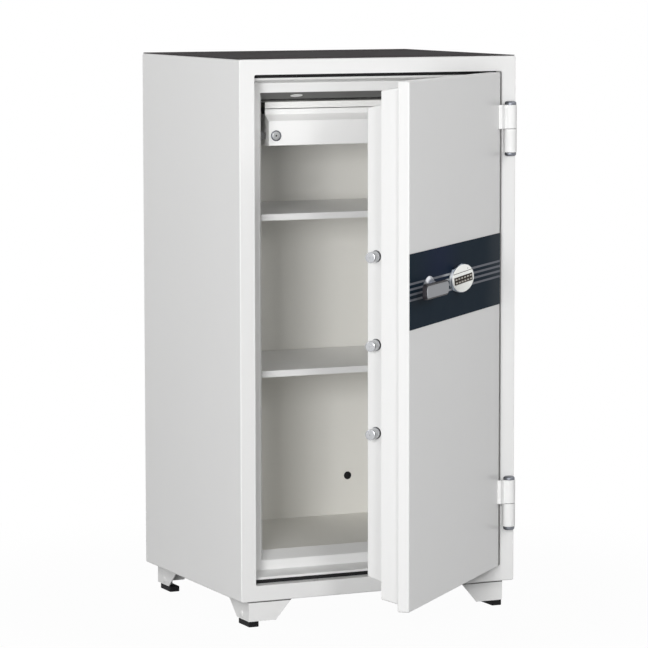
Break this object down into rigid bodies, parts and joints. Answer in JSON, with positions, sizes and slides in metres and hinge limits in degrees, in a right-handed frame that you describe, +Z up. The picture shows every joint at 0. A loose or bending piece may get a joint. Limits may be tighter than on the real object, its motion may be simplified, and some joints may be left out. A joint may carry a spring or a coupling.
{
  "type": "fireproof electronic safe",
  "caption": "Free-standing fireproof safe with a thick stepped door on exposed hinges, lever-driven locking bolts, an electronic keypad lock, shelves and a lockable drawer.",
  "frame": {"origin": "centre of the body's underside, between the feet; the mount underside lies 0.5 mm above it", "axes": "+Z up, +Y to the back, +X to the right as seen from the front; the door stands open at 44.2 degrees at rest"},
  "size_m": [0.65, 0.9849, 1.2066],
  "materials": {
    "body_paint": "satin",
    "door_paint": "gloss",
    "top_paint": "satin",
    "interior_paint": "satin",
    "shelf_paint": "satin",
    "band_paint": "gloss",
    "hinge_steel": "satin",
    "bolt_steel": "polished",
    "zinc_steel": "satin",
    "chrome": "polished",
    "satin_metal": "satin",
    "seal_rubber": "matte",
    "pad_rubber": "matte",
    "filler": "matte",
    "lever_plastic": "gloss",
    "lock_plastic": "gloss",
    "keypad_plastic": "satin",
    "key_plastic": "satin"
  },
  "bodies": {
    "cabinet": {"outer_casing": "body_paint", "back_panel": "body_paint", "top_cover": "top_paint", "fire_insulation": "filler", "door_jamb": "interior_paint", "fire_seal": "seal_rubber", "inner_liner": "interior_paint", "anchor_plug": "seal_rubber", "shelf_support_left": "interior_paint", "shelf_support_right": "interior_paint", "shelf_lower": "shelf_paint", "shelf_upper": "shelf_paint", "foot_bracket_front_left": "body_paint", "foot_pad_front_left": "pad_rubber", "foot_bracket_front_right": "body_paint", "foot_pad_front_right": "pad_rubber", "foot_bracket_rear_left": "body_paint", "foot_pad_rear_left": "pad_rubber", "foot_bracket_rear_right": "body_paint", "foot_pad_rear_right": "pad_rubber", "drawer_carrier": "interior_paint", "hinge_frame_knuckle_lower": "body_paint", "hinge_pin_lower": "hinge_steel", "hinge_frame_knuckle_upper": "body_paint", "hinge_pin_upper": "hinge_steel"},
    "door": {"hinge_door_knuckle_lower": "body_paint", "hinge_door_knuckle_upper": "body_paint", "door_outer": "door_paint", "door_insulation": "filler", "door_inner_pan": "interior_paint", "band_panel": "band_paint", "lock_case": "zinc_steel", "lock_collar": "chrome", "lock_face": "lock_plastic", "keypad_plate": "keypad_plastic"},
    "handle": {"handle_hub": "chrome", "lever_body": "lever_plastic", "lever_insert": "satin_metal", "handle_spindle": "zinc_steel"},
    "boltwork": {"bolt_bar": "zinc_steel", "sliding_bolt_1": "bolt_steel", "sliding_bolt_2": "bolt_steel", "sliding_bolt_3": "bolt_steel"},
    "lock_bolt": {"lock_bolt": "bolt_steel"},
    "drawer": {"drawer_box": "interior_paint", "drawer_front": "interior_paint", "drawer_lock": "chrome"},
    "drawer_cam": {"drawer_lock_cam": "zinc_steel"},
    "key_1_1": {"key_1_1": "key_plastic"},
    "key_1_2": {"key_1_2": "key_plastic"},
    "key_1_3": {"key_1_3": "key_plastic"},
    "key_1_4": {"key_1_4": "key_plastic"},
    "key_1_5": {"key_1_5": "key_plastic"},
    "key_1_6": {"key_1_6": "key_plastic"},
    "key_2_1": {"key_2_1": "key_plastic"},
    "key_2_2": {"key_2_2": "key_plastic"},
    "key_2_3": {"key_2_3": "key_plastic"},
    "key_2_4": {"key_2_4": "key_plastic"},
    "key_2_5": {"key_2_5": "key_plastic"},
    "key_2_6": {"key_2_6": "key_plastic"}
  },
  "joints": [
    {"name": "door_hinge", "type": "hinge", "parent": "cabinet", "child": "door", "pos_m": [0.3028, -0.2935, 0.5835], "axis": [0, 0, 1], "range_deg": [-44.2, 75.8]},
    {"name": "handle_turn", "type": "hinge", "parent": "door", "child": "handle", "pos_m": [-0.04726, -0.60811, 0.69], "axis": [0.6972, -0.7169, 0], "range_deg": [0, 60]},
    {"name": "boltwork_slide", "type": "slide", "parent": "door", "child": "boltwork", "axis": [0.7169, 0.6972, 0], "range_m": [0, 0.036]},
    {"name": "lock_bolt_slide", "type": "slide", "parent": "door", "child": "lock_bolt", "axis": [0, 0, 1], "range_m": [-0.008, 0]},
    {"name": "drawer_slide", "type": "slide", "parent": "cabinet", "child": "drawer", "axis": [0, -1, 0], "range_m": [0, 0.08]},
    {"name": "drawer_cam_turn", "type": "hinge", "parent": "drawer", "child": "drawer_cam", "pos_m": [-0.189, -0.1382, 0.98133], "axis": [0, 1, 0], "range_deg": [-90, 0]},
    {"name": "key_1_1_press", "type": "slide", "parent": "door", "child": "key_1_1", "axis": [-0.2507, 0.9624, 0.1045], "range_m": [0, 0.001], "stiffness_N_per_m": 1000},
    {"name": "key_1_2_press", "type": "slide", "parent": "door", "child": "key_1_2", "axis": [-0.2507, 0.9624, 0.1045], "range_m": [0, 0.001], "stiffness_N_per_m": 1000},
    {"name": "key_1_3_press", "type": "slide", "parent": "door", "child": "key_1_3", "axis": [-0.2507, 0.9624, 0.1045], "range_m": [0, 0.001], "stiffness_N_per_m": 1000},
    {"name": "key_1_4_press", "type": "slide", "parent": "door", "child": "key_1_4", "axis": [-0.2507, 0.9624, 0.1045], "range_m": [0, 0.001], "stiffness_N_per_m": 1000},
    {"name": "key_1_5_press", "type": "slide", "parent": "door", "child": "key_1_5", "axis": [-0.2507, 0.9624, 0.1045], "range_m": [0, 0.001], "stiffness_N_per_m": 1000},
    {"name": "key_1_6_press", "type": "slide", "parent": "door", "child": "key_1_6", "axis": [-0.2507, 0.9624, 0.1045], "range_m": [0, 0.001], "stiffness_N_per_m": 1000},
    {"name": "key_2_1_press", "type": "slide", "parent": "door", "child": "key_2_1", "axis": [-0.2507, 0.9624, 0.1045], "range_m": [0, 0.001], "stiffness_N_per_m": 1000},
    {"name": "key_2_2_press", "type": "slide", "parent": "door", "child": "key_2_2", "axis": [-0.2507, 0.9624, 0.1045], "range_m": [0, 0.001], "stiffness_N_per_m": 1000},
    {"name": "key_2_3_press", "type": "slide", "parent": "door", "child": "key_2_3", "axis": [-0.2507, 0.9624, 0.1045], "range_m": [0, 0.001], "stiffness_N_per_m": 1000},
    {"name": "key_2_4_press", "type": "slide", "parent": "door", "child": "key_2_4", "axis": [-0.2507, 0.9624, 0.1045], "range_m": [0, 0.001], "stiffness_N_per_m": 1000},
    {"name": "key_2_5_press", "type": "slide", "parent": "door", "child": "key_2_5", "axis": [-0.2507, 0.9624, 0.1045], "range_m": [0, 0.001], "stiffness_N_per_m": 1000},
    {"name": "key_2_6_press", "type": "slide", "parent": "door", "child": "key_2_6", "axis": [-0.2507, 0.9624, 0.1045], "range_m": [0, 0.001], "stiffness_N_per_m": 1000}
  ],
  "couplings": [
    {"joint": "boltwork_slide", "follows": "handle_turn", "m_per_rad": 0.034377}
  ]
}
